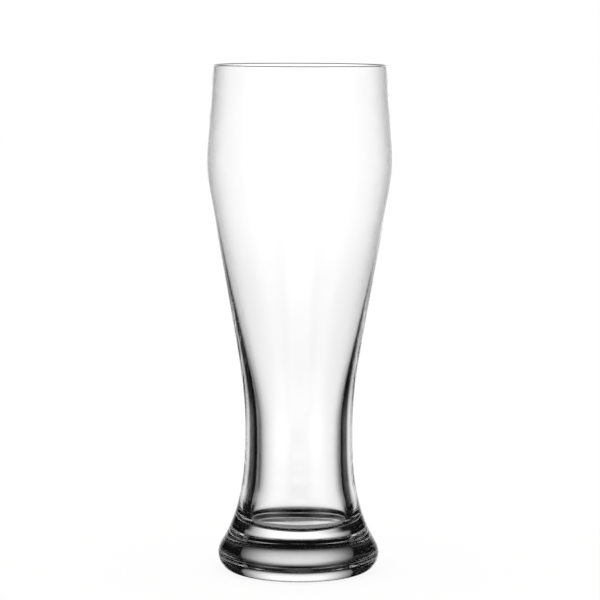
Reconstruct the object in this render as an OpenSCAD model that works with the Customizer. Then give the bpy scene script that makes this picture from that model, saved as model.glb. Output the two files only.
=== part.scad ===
// Footed wheat-beer glass, pressed and blown in one piece of soda-lime glass.
// The axis of the glass is Z, and the table that it stands on is Z = 0.

/* [Overall] */
// Height from the table to the top of the rim
glass_h = 220; // [180:1:260]

/* [Rim] */
// Outside diameter of the rim
rim_d = 75.4; // [72:0.2:78]
// Thickness of the fire-polished rim
rim_t = 1.5; // [1.2:0.1:2.2]
// Height over which the wall thickens into the rim
rim_bead_h = 3; // [2:0.5:6]

/* [Belly] */
// Largest diameter of the bowl
belly_d = 80.9; // [80:0.2:86]
// Depth of the largest diameter below the top of the rim
belly_depth = 41; // [36:1:46]
// Diameter of the shoulder, where the bowl begins to lean in evenly
shoulder_d = 79.2; // [78:0.2:80]
// Depth of the shoulder below the top of the rim
shoulder_depth = 28; // [22:1:32]
// Wall of the bowl, from the belly up
belly_wall = 0.9; // [0.7:0.1:1.8]

/* [Taper] */
// Diameter at the top of the straight taper
taper_top_d = 77.9; // [76:0.2:78.6]
// Depth of the top of the straight taper below the top of the rim
taper_top_depth = 55; // [52:1:60]
// Wall at the top of the straight taper
taper_top_wall = 0.9; // [0.7:0.1:2]
// Diameter at the foot of the straight taper
taper_foot_d = 53; // [50:0.5:56]
// Height of the foot of the straight taper
taper_foot_h = 95; // [88:1:104]
// Wall at the foot of the straight taper
taper_foot_wall = 3.1; // [2.2:0.1:3.6]

/* [Leg] */
// Smallest outside diameter
waist_d = 46.8; // [44:0.2:49]
// Height of the smallest diameter
waist_h = 62; // [56:1:68]
// Wall at the waist
waist_wall = 5; // [3.5:0.1:6]

/* [Foot] */
// Largest diameter of the foot
foot_d = 70.4; // [66:0.2:76]
// Height of the largest diameter of the foot
foot_edge_h = 7.5; // [6:0.5:10]
// Diameter at the middle of the flare
flare_d = 63; // [60:0.2:65]
// Height of the middle of the flare
flare_h = 16; // [14:0.5:18]
// Diameter at the ankle, where the flare runs into the leg
ankle_d = 51.8; // [50:0.2:54]
// Height of the ankle
ankle_h = 32; // [30:1:36]

/* [Base] */
// Inside diameter at the throat, where the well narrows into the leg
throat_d = 38.3; // [36.5:0.1:40]
// Height of the throat
throat_h = 37; // [33:1:42]
// Inside diameter of the well just above its rounded floor
well_d = 43.4; // [40:0.2:45]
// Height at which the wall of the well runs into the rounded floor
well_h = 23; // [21:0.5:25]
// Height of the middle of the inner floor
floor_h = 17; // [14:0.5:18.5]
// Rise of the floor from its middle to its rounded corner
dish_h = 2.2; // [0:0.2:2.6]
// Outside diameter of the ring that the glass stands on
ring_d = 58.2; // [52:0.2:60]
// Width of the ring that the glass stands on
ring_w = 3.1; // [2:0.1:6]
// Depth of the push-up inside the ring
push_up_h = 0.3; // [0.2:0.1:3]

/* [Hidden] */
// Facets of the turned glass, and steps along each curve of its outline
turn_fn = 180;
steps = 12;
quarter = 90;
// Slopes of the outside and of the bore: change of radius for each unit of height
flare_slope = -0.5;
ankle_slope = -0.22;
taper_foot_slope = 0.168;
taper_top_slope = 0.19;
well_slope = -0.085;
throat_slope = -0.109;
bore_waist_slope = 0.02;
bore_foot_slope = 0.228;
bore_top_slope = 0.172;
shoulder_slope = -0.09;
rim_slope = -0.04;
// Exponents of the rounded heel, floor and push-up: 2 is an ellipse, more is squarer
heel_power = 2;
floor_power = 5.2;
push_up_power = 3.1;
// Heights of the places that keep their depth below the rim, and of the middle of the rounded rim
taper_top_h = glass_h - taper_top_depth;
belly_h = glass_h - belly_depth;
shoulder_h = glass_h - shoulder_depth;
lip_h = glass_h - rim_t / 2;

// Height, radius and slope of the outside at each named place, from the foot up
outside = [
    [foot_edge_h, foot_d / 2, 0],
    [flare_h, flare_d / 2, flare_slope],
    [ankle_h, ankle_d / 2, ankle_slope],
    [waist_h, waist_d / 2, 0],
    [taper_foot_h, taper_foot_d / 2, taper_foot_slope],
    [taper_top_h, taper_top_d / 2, taper_top_slope],
    [belly_h, belly_d / 2, 0],
    [shoulder_h, shoulder_d / 2, shoulder_slope],
    [lip_h, rim_d / 2, rim_slope]
];
// The same of the inside, from the well up, set in from the outside by the wall
inside = [
    [well_h, well_d / 2, well_slope],
    [throat_h, throat_d / 2, throat_slope],
    [waist_h, waist_d / 2 - waist_wall, bore_waist_slope],
    [taper_foot_h, taper_foot_d / 2 - taper_foot_wall, bore_foot_slope],
    [taper_top_h, taper_top_d / 2 - taper_top_wall, bore_top_slope],
    [belly_h, belly_d / 2 - belly_wall, 0],
    [shoulder_h, shoulder_d / 2 - belly_wall, shoulder_slope],
    [lip_h - rim_bead_h, rim_d / 2 - rim_slope * rim_bead_h - belly_wall, rim_slope],
    [lip_h, rim_d / 2 - rim_t, rim_slope]
];

// Point of the smooth curve from place a to place b, at the share t of the way up
function between(a, b, t) =
    let (h = b[0] - a[0])
    [
        a[1] * (1 + 2 * t) * (1 - t) ^ 2 + a[2] * h * t * (1 - t) ^ 2
        + b[1] * t ^ 2 * (3 - 2 * t) + b[2] * h * t ^ 2 * (t - 1),
        a[0] + h * t
    ];
// Curve through all the places of a side, ending at the last of them
function side(places) = [
    for (i = [0 : len(places) - 2], k = [0 : steps - 1]) between(places[i], places[i + 1], k / steps),
    [places[len(places) - 1][1], places[len(places) - 1][0]]
];
// Quarter of a squarish ellipse, as shares of its width and height
function round_share(k, power) =
    let (a = quarter * k / steps, reach = (cos(a) ^ power + sin(a) ^ power) ^ (1 / power))
    [cos(a) / reach, sin(a) / reach];
function backwards(points) = [for (i = [len(points) - 1 : -1 : 0]) points[i]];

// Outline of the foot below its edge, from the ring that it stands on outwards
heel = [
    for (k = [0 : steps - 1]) let (s = round_share(k, heel_power))
    [(ring_d + (foot_d - ring_d) * s[1]) / 2, foot_edge_h * (1 - s[0])]
];
// Half round of the rim, from the outside over to the inside
rim = [
    for (k = [1 : 2 * steps - 1]) let (a = quarter * k / steps)
    [(rim_d - rim_t + rim_t * cos(a)) / 2, lip_h + rim_t / 2 * sin(a)]
];
// Dished floor of the well with its rounded corner, from the wall in to the axis
floor_round = [
    for (k = [1 : 2 * steps]) let (s = round_share(k / 2, floor_power))
    [k < 2 * steps ? well_d / 2 * s[0] : 0, well_h - (well_h - floor_h) * s[1] + dish_h * s[0] ^ 2 * s[1]]
];
// Push-up under the base, from the axis out to the ring
push_up = [
    for (k = [0 : steps]) let (s = round_share(k, push_up_power))
    [(ring_d / 2 - ring_w) * s[1], k < steps ? push_up_h * s[0] : 0]
];

module glass() {
    color("whitesmoke")
    rotate_extrude($fn = turn_fn)
    polygon([each heel, each side(outside), each rim, each backwards(side(inside)), each floor_round,
        each push_up]);
}

glass();
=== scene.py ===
# Weizen glass on a pale floor, seen against a lit panel.
# Sizes are in millimetres, heights are counted from the table, and the glass turns about the Z axis.
import bpy
import math
from mathutils import Matrix, Vector


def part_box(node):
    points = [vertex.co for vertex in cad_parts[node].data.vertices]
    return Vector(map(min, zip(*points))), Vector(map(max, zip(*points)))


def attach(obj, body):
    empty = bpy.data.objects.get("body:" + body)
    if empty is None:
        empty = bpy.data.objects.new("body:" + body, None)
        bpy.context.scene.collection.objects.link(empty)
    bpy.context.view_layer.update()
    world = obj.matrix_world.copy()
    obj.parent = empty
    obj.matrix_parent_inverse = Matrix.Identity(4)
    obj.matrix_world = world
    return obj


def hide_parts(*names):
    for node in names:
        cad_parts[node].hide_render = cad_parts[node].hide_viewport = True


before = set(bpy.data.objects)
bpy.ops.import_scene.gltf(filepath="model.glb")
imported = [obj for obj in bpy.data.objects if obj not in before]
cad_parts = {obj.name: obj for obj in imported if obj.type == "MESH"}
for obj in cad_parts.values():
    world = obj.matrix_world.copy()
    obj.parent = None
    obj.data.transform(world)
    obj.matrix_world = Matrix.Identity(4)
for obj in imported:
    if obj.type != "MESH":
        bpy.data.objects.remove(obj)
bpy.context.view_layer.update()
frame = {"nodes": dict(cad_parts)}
scene = bpy.context.scene
print("frame loaded:", ", ".join(frame["nodes"]))


def toLinear(hexColour):
    # sRGB hex to the linear colour that the nodes take
    parts = [int(hexColour[i:i + 2], 16) / 255 for i in (1, 3, 5)]
    return [p / 12.92 if p <= 0.04045 else ((p + 0.055) / 1.055) ** 2.4 for p in parts] + [1.0]


def addNode(tree, kind, settings={}, inputs={}):
    # one node with its settings; each input takes a value, or the output of another node
    node = tree.nodes.new(kind)
    for name, value in settings.items():
        setattr(node, name, value)
    for socket, value in inputs.items():
        if isinstance(value, bpy.types.NodeSocket):
            tree.links.new(value, node.inputs[socket])
        else:
            node.inputs[socket].default_value = value
    return node


# The glass: one outline, turned round the axis. Widths are diameters, depths are counted down from the
# rim, and a slope is the change of radius for each millimetre of height. The rim is drawn thinner than in
# the solid and its bead longer, because the photograph shows no band of light below it
glass = {
    "height": 220, "rimWidth": 75.4, "rimThick": 1.25, "rimBead": 13,
    "bellyWidth": 80.9, "bellyDepth": 41, "shoulderWidth": 79.2, "shoulderDepth": 28, "bellyWall": 0.9,
    "taperTopWidth": 77.9, "taperTopDepth": 55, "taperTopWall": 0.9,
    "taperFootWidth": 53, "taperFootHeight": 95, "taperFootWall": 3.1,
    "waistWidth": 46.8, "waistHeight": 62, "waistWall": 5,
    "footWidth": 70.4, "footEdgeHeight": 7.5, "flareWidth": 63, "flareHeight": 16,
    "ankleWidth": 51.8, "ankleHeight": 32,
    "throatWidth": 38.3, "throatHeight": 37, "wellWidth": 43.4, "wellHeight": 23,
    "floorHeight": 17, "dishRise": 2.2, "ringWidth": 58.2, "ringFlat": 3.1, "pushUp": 0.3,
    "flareSlope": -0.5, "ankleSlope": -0.22, "taperFootSlope": 0.168, "taperTopSlope": 0.19,
    "shoulderSlope": -0.09, "rimSlope": -0.04, "wellSlope": -0.085, "throatSlope": -0.109,
    "boreWaistSlope": 0.02, "boreFootSlope": 0.228, "boreTopSlope": 0.172,
    "heelPower": 2, "floorPower": 5.2, "pushUpPower": 3.1,  # 2 is an ellipse, more is squarer
    "stepsPerCurve": 24, "segments": 192, "sharpAngle": 40,
    # faint swells from the pressing: their most, how far they keep from the ring, and for each wave its
    # length, its direction in x and y, where it starts and its share
    "floorSwell": 0.2, "underSwell": 0.06, "ringMargin": 0.031,
    "waves": ((23, 0.9, 0.4, 1, 1), (31, -0.3, 1, 2, 1), (15, 0.6, -0.8, 0, 0.5)),
}
low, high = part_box("glass")
unit = (high.z - low.z) / glass["height"]  # metres for each millimetre of the glass


def between(a, b, t):
    # smooth curve from place a to place b, each a height, a radius and a slope
    rise = b[0] - a[0]
    radius = a[1] * (1 + 2 * t) * (1 - t) ** 2 + a[2] * rise * t * (1 - t) ** 2
    radius += b[1] * t ** 2 * (3 - 2 * t) + b[2] * rise * t ** 2 * (t - 1)
    return radius, a[0] + rise * t


def side(places, steps):
    # the curve through all the places of one side, from the foot up
    points = [between(a, b, k / steps) for a, b in zip(places, places[1:]) for k in range(steps)]
    return points + [(places[-1][1], places[-1][0])]


def quarterRound(steps, power):
    # a quarter of a squarish ellipse, from (1, 0) to (0, 1)
    points = []
    for k in range(steps + 1):
        angle = math.pi / 2 * k / steps
        c = math.cos(angle) if k < steps else 0.0  # ends exactly on the axis
        s = math.sin(angle)
        reach = (c ** power + s ** power) ** (1 / power)
        points.append((c / reach, s / reach))
    return points


def glassOutline(g):
    # points of radius and height: heel, outside, rim, inside, floor of the well and push-up
    steps = g["stepsPerCurve"]
    lip = g["height"] - g["rimThick"] / 2
    taperTop = g["height"] - g["taperTopDepth"]
    belly = g["height"] - g["bellyDepth"]
    shoulder = g["height"] - g["shoulderDepth"]
    rimRadius = g["rimWidth"] / 2
    outside = [
        (g["footEdgeHeight"], g["footWidth"] / 2, 0),
        (g["flareHeight"], g["flareWidth"] / 2, g["flareSlope"]),
        (g["ankleHeight"], g["ankleWidth"] / 2, g["ankleSlope"]),
        (g["waistHeight"], g["waistWidth"] / 2, 0),
        (g["taperFootHeight"], g["taperFootWidth"] / 2, g["taperFootSlope"]),
        (taperTop, g["taperTopWidth"] / 2, g["taperTopSlope"]),
        (belly, g["bellyWidth"] / 2, 0),
        (shoulder, g["shoulderWidth"] / 2, g["shoulderSlope"]),
        (lip, rimRadius, g["rimSlope"]),
    ]
    inside = [
        (g["wellHeight"], g["wellWidth"] / 2, g["wellSlope"]),
        (g["throatHeight"], g["throatWidth"] / 2, g["throatSlope"]),
        (g["waistHeight"], g["waistWidth"] / 2 - g["waistWall"], g["boreWaistSlope"]),
        (g["taperFootHeight"], g["taperFootWidth"] / 2 - g["taperFootWall"], g["boreFootSlope"]),
        (taperTop, g["taperTopWidth"] / 2 - g["taperTopWall"], g["boreTopSlope"]),
        (belly, g["bellyWidth"] / 2 - g["bellyWall"], 0),
        (shoulder, g["shoulderWidth"] / 2 - g["bellyWall"], g["shoulderSlope"]),
        (lip - g["rimBead"], rimRadius - g["rimSlope"] * g["rimBead"] - g["bellyWall"], g["rimSlope"]),
        (lip, rimRadius - g["rimThick"], g["rimSlope"]),
    ]
    ring = g["ringWidth"] / 2
    foot = g["footWidth"] / 2
    heel = []
    for c, s in quarterRound(steps, g["heelPower"])[:-1]:
        heel.append((ring + (foot - ring) * s, g["footEdgeHeight"] * (1 - c)))
    rim = []
    rimRound = g["rimThick"] / 2
    for k in range(1, steps):
        angle = math.pi * k / steps
        rim.append((rimRadius - rimRound * (1 - math.cos(angle)), lip + rimRound * math.sin(angle)))
    floor = []
    drop = g["wellHeight"] - g["floorHeight"]
    for c, s in quarterRound(2 * steps, g["floorPower"])[1:]:
        floor.append((g["wellWidth"] / 2 * c, g["wellHeight"] - drop * s + g["dishRise"] * c ** 2 * s))
    pushUp = []
    for c, s in quarterRound(steps, g["pushUpPower"]):
        pushUp.append(((ring - g["ringFlat"]) * s, g["pushUp"] * c))
    return heel + side(outside, steps) + rim + side(inside, steps)[::-1] + floor + pushUp


def mostSwell(g, radius, height):
    # the swells are on the underside and the floor of the well, and fade towards the edges of both
    if height <= g["pushUp"] and radius < g["ringWidth"] / 2 - g["ringFlat"] - g["ringMargin"]:
        return g["underSwell"] * height / g["pushUp"]
    if g["floorHeight"] <= height < g["wellHeight"] and radius < g["wellWidth"] / 2:
        return g["floorSwell"] * (g["wellHeight"] - height) / (g["wellHeight"] - g["floorHeight"])
    return 0


def swell(g, x, y):
    # the share of the most that the swells reach at one place, between -1 and 1
    total = 0
    for length, alongX, alongY, start, share in g["waves"]:
        total += share * math.sin(2 * math.pi / length * (alongX * x + alongY * y) + start)
    return total / sum(wave[-1] for wave in g["waves"])


def turned(name, g):
    # turns the outline into a closed mesh; a point on the axis becomes one vertex
    segments = g["segments"]
    verts = []
    rings = []
    for radius, height in glassOutline(g):
        most = mostSwell(g, radius, height)
        count = 1 if radius == 0 else segments
        rings.append([len(verts) + k for k in range(count)])
        for k in range(count):
            angle = 2 * math.pi * k / segments
            x = radius * math.cos(angle)
            y = radius * math.sin(angle)
            verts.append(Vector((x, y, height + most * swell(g, x, y))) * unit)
    faces = []
    for lower, upper in zip(rings, rings[1:] + rings[:1]):
        if len(lower) == len(upper) == 1:
            continue
        for k in range(segments):
            n = (k + 1) % segments
            corners = [ring[i % len(ring)] for ring, i in ((lower, k), (lower, n), (upper, n), (upper, k))]
            faces.append(list(dict.fromkeys(corners)))  # a triangle where one ring is a point
    mesh = bpy.data.meshes.new(name)
    mesh.from_pydata(verts, [], faces)
    mesh.polygons.foreach_set("use_smooth", [True] * len(faces))
    mesh.validate()
    mesh.set_sharp_from_angle(angle=math.radians(g["sharpAngle"]))
    piece = bpy.data.objects.new(name, mesh)
    scene.collection.objects.link(piece)
    return piece


glassPiece = turned("weizen_glass", glass)
print("glass turned:", len(glassPiece.data.vertices), "points")


# Clear soda-lime glass, pressed at the base and blown above it: nearly colourless, with the faint
# waviness that the blowing leaves in the wall and the chill marks of the mould under the base, which
# are drawn coarser than real ones so that they show
sodaLime = {
    "tint": "#FEFEFE", "ior": 1.52, "roughness": 0.0,
    "waveSize": 22, "waveDepth": 0.012, "waveDetail": 2.0,
    "chillSize": 3.5, "chillDepth": 0.02, "chillDetail": 1.0, "chillHeight": 0.8,
    "fineShare": 0.4,  # how much the finer parts of both patterns show
}


def sodaLimeGlass(g):
    material = bpy.data.materials.new("clearSodaLimeGlass")
    material.use_nodes = True
    tree = material.node_tree
    tree.nodes.clear()
    place = addNode(tree, "ShaderNodeTexCoord").outputs["Object"]
    waves = addNode(tree, "ShaderNodeTexNoise", {"noise_dimensions": "3D"},
                    {"Vector": place, "Scale": 1 / (g["waveSize"] * unit),
                     "Detail": g["waveDetail"], "Roughness": g["fineShare"]})
    waveBump = addNode(tree, "ShaderNodeBump", {},
                       {"Height": waves.outputs["Fac"], "Strength": 1.0, "Distance": g["waveDepth"] * unit})
    chill = addNode(tree, "ShaderNodeTexNoise", {"noise_dimensions": "3D"},
                    {"Vector": place, "Scale": 1 / (g["chillSize"] * unit),
                     "Detail": g["chillDetail"], "Roughness": g["fineShare"]})
    # the chill marks fade from half of their height up to where the heel turns up
    top = g["chillHeight"] * unit
    xyz = addNode(tree, "ShaderNodeSeparateXYZ", {}, {"Vector": place})
    under = addNode(tree, "ShaderNodeMapRange", {},
                    {"Value": xyz.outputs["Z"], "From Min": top / 2, "From Max": top,
                     "To Min": 1, "To Max": 0})
    marks = addNode(tree, "ShaderNodeMath", {"operation": "MULTIPLY"},
                    {0: chill.outputs["Fac"], 1: under.outputs[0]})
    chillBump = addNode(tree, "ShaderNodeBump", {},
                        {"Height": marks.outputs[0], "Strength": 1.0, "Distance": g["chillDepth"] * unit,
                         "Normal": waveBump.outputs["Normal"]})
    shader = addNode(tree, "ShaderNodeBsdfPrincipled", {},
                     {"Base Color": toLinear(g["tint"]), "Roughness": g["roughness"], "IOR": g["ior"],
                      "Transmission Weight": 1.0, "Normal": chillBump.outputs["Normal"]})
    addNode(tree, "ShaderNodeOutputMaterial", {}, {"Surface": shader.outputs["BSDF"]})
    return material


glassPiece.data.materials.append(sodaLimeGlass(sodaLime))
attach(glassPiece, "root")
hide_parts("glass")
print("glass dressed")


# Light: a lit panel behind the glass, as the photograph's camera sees it, brightest at its middle and
# cut off at its sides. The dark beyond them draws the dark edges. It is narrower below, where the table
# hides part of it. The panels called beside and table light the glass when it is seen from elsewhere,
# and show a little in the sides of its base. All are drawn in the world by direction, in degrees: turns
# are counted from the photograph's line of sight, and rise from level. To each side of its middle, a
# panel fades out around half and is cut off at edge; upwards, it starts around low and ends around high.
# Each of these has a soft value, which is half the width of its fade
photoTurn = 135  # the photograph's line of sight, counted from +Y towards +X; the glass is round
studio = {"light": "#FFFFFF", "fill": "#0F0F0F", "around": "#FFFFFF"}
panels = {
    "behind": {"turns": (1,), "half": 24.5, "soft": 16, "edge": 33, "edgeSoft": 1,
               "low": -8, "lowSoft": 4, "high": 17.5, "highSoft": 12, "strength": 1.03},
    "below": {"turns": (3,), "half": 22, "soft": 13, "edge": 27, "edgeSoft": 4,
              "low": -23, "lowSoft": 7, "high": -8, "highSoft": 4, "strength": 1.07},
    "middle": {"turns": (1,), "half": 16, "soft": 12, "edge": 33, "edgeSoft": 1,
               "low": -8, "lowSoft": 4, "high": 5, "highSoft": 4, "strength": 0.18},
    "beside": {"turns": (135, -135), "half": 21, "soft": 16, "edge": 50, "edgeSoft": 2,
               "low": -22, "lowSoft": 7, "high": 11, "highSoft": 6, "strength": 0.94},
    "table": {"turns": (180,), "half": 20, "soft": 7, "edge": 30, "edgeSoft": 2,
              "low": -35, "lowSoft": 5, "high": -15, "highSoft": 4, "strength": 1.05},
}


def panelFades(p, off, rise):
    # what each fade follows, where it starts and ends, and whether it goes from 0 to 1 or back
    return (
        (off, p["half"] - p["soft"], p["half"] + p["soft"], 1, 0),
        (off, p["edge"] - p["edgeSoft"], p["edge"] + p["edgeSoft"], 1, 0),
        (rise, p["low"] - p["lowSoft"], p["low"] + p["lowSoft"], 0, 1),
        (rise, p["high"] - p["highSoft"], p["high"] + p["highSoft"], 1, 0),
    )


def studioWorld(s, panels):
    world = bpy.data.worlds.new("studio")
    world.use_nodes = True
    world.cycles.sampling_method = "NONE"  # clear glass gains nothing from it, and the floor sees even white
    tree = world.node_tree
    tree.nodes.clear()
    direction = addNode(tree, "ShaderNodeTexCoord")
    xyz = addNode(tree, "ShaderNodeSeparateXYZ", {}, {"Vector": direction.outputs["Generated"]})
    turn = addNode(tree, "ShaderNodeMath", {"operation": "ARCTAN2"},
                   {0: xyz.outputs["X"], 1: xyz.outputs["Y"]})
    turn = addNode(tree, "ShaderNodeMath", {"operation": "DEGREES"}, {0: turn.outputs[0]})
    rise = addNode(tree, "ShaderNodeMath", {"operation": "ARCSINE"}, {0: xyz.outputs["Z"]})
    rise = addNode(tree, "ShaderNodeMath", {"operation": "DEGREES"}, {0: rise.outputs[0]})
    total = 0.0
    for p in panels.values():
        for middle in p["turns"]:
            # degrees to either side of the panel's middle
            off = addNode(tree, "ShaderNodeMath", {"operation": "SUBTRACT"},
                          {0: turn.outputs[0], 1: photoTurn + middle})
            off = addNode(tree, "ShaderNodeMath", {"operation": "WRAP"}, {0: off.outputs[0], 1: 180, 2: -180})
            off = addNode(tree, "ShaderNodeMath", {"operation": "ABSOLUTE"}, {0: off.outputs[0]})
            light = p["strength"]
            for source, start, end, first, last in panelFades(p, off.outputs[0], rise.outputs[0]):
                fade = addNode(tree, "ShaderNodeMapRange", {"interpolation_type": "SMOOTHSTEP"},
                               {"Value": source, "From Min": start, "From Max": end,
                                "To Min": first, "To Max": last})
                light = addNode(tree, "ShaderNodeMath", {"operation": "MULTIPLY"},
                                {0: light, 1: fade.outputs[0]}).outputs[0]
            total = addNode(tree, "ShaderNodeMath", {"operation": "ADD"}, {0: total, 1: light}).outputs[0]
    glow = addNode(tree, "ShaderNodeBackground", {}, {"Color": toLinear(s["light"]), "Strength": total})
    fill = addNode(tree, "ShaderNodeBackground", {}, {"Color": toLinear(s["fill"]), "Strength": 1.0})
    lit = addNode(tree, "ShaderNodeAddShader", {}, {0: glow.outputs[0], 1: fill.outputs[0]})
    # the camera and the floor have plain white round them
    plain = addNode(tree, "ShaderNodeBackground", {}, {"Color": toLinear(s["around"]), "Strength": 1.0})
    ray = addNode(tree, "ShaderNodeLightPath")
    unglazed = addNode(tree, "ShaderNodeMath", {"operation": "MAXIMUM"},
                       {0: ray.outputs["Is Camera Ray"], 1: ray.outputs["Is Diffuse Ray"]})
    mix = addNode(tree, "ShaderNodeMixShader", {},
                  {0: unglazed.outputs[0], 1: lit.outputs[0], 2: plain.outputs[0]})
    addNode(tree, "ShaderNodeOutputWorld", {}, {"Surface": mix.outputs[0]})
    return world


scene.world = studioWorld(studio, panels)
print("studio lit with", len(panels), "panels")


# Floor: a sheet of white opal acrylic, evenly lit, which only the softest shadow of the foot shows on.
# The glass doesn't see it: what its base shows comes from the panels alone
opalFloor = {
    "span": 6000, "sink": 0.02,
    "colour": "#5C5C5B", "roughness": 0.6, "light": "#FFFFFF", "glow": 0.9,
}


def layFloor(f):
    half = f["span"] / 2
    square = ((-half, -half), (half, -half), (half, half), (-half, half))
    mesh = bpy.data.meshes.new("pale_floor")
    mesh.from_pydata([Vector((x, y, -f["sink"])) * unit for x, y in square], [], [(0, 1, 2, 3)])
    floor = bpy.data.objects.new("pale_floor", mesh)
    scene.collection.objects.link(floor)
    material = bpy.data.materials.new("opalAcrylicSheet")
    material.use_nodes = True
    tree = material.node_tree
    tree.nodes.clear()
    shader = addNode(tree, "ShaderNodeBsdfPrincipled", {},
                     {"Base Color": toLinear(f["colour"]), "Roughness": f["roughness"],
                      "Specular IOR Level": 0.0,
                      "Emission Color": toLinear(f["light"]), "Emission Strength": f["glow"]})
    addNode(tree, "ShaderNodeOutputMaterial", {}, {"Surface": shader.outputs["BSDF"]})
    mesh.materials.append(material)
    floor.visible_transmission = False
    floor.visible_glossy = False


layFloor(opalFloor)
print("floor laid")


# Camera: as the photograph was taken, a long lens a little above the rim. Light passes many surfaces
# inside the base before it leaves, so it is followed for many bounces
view = {
    "distance": 1100, "sideways": 0.3, "height": 241.7, "aimHeight": 118.2,
    "lens": 152.99, "sensor": 36, "roll": 0.2, "bounces": 32,
}


def placeCamera(v):
    camera = bpy.data.objects.new("camera", bpy.data.cameras.new("camera"))
    scene.collection.objects.link(camera)
    camera.data.lens = v["lens"]
    camera.data.sensor_width = v["sensor"]
    down = math.atan2(v["height"] - v["aimHeight"], v["distance"])
    side = Matrix.Rotation(math.radians(-photoTurn), 4, "Z")
    stand = Matrix.Translation(Vector((v["sideways"], -v["distance"], v["height"])) * unit)
    tilt = Matrix.Rotation(math.pi / 2 - down, 4, "X") @ Matrix.Rotation(math.radians(v["roll"]), 4, "Z")
    camera.matrix_world = side @ stand @ tilt
    scene.camera = camera


placeCamera(view)
scene.view_settings.view_transform = "Standard"
scene.cycles.max_bounces = view["bounces"]
scene.cycles.transmission_bounces = view["bounces"]
scene.cycles.glossy_bounces = view["bounces"]
print("camera placed")
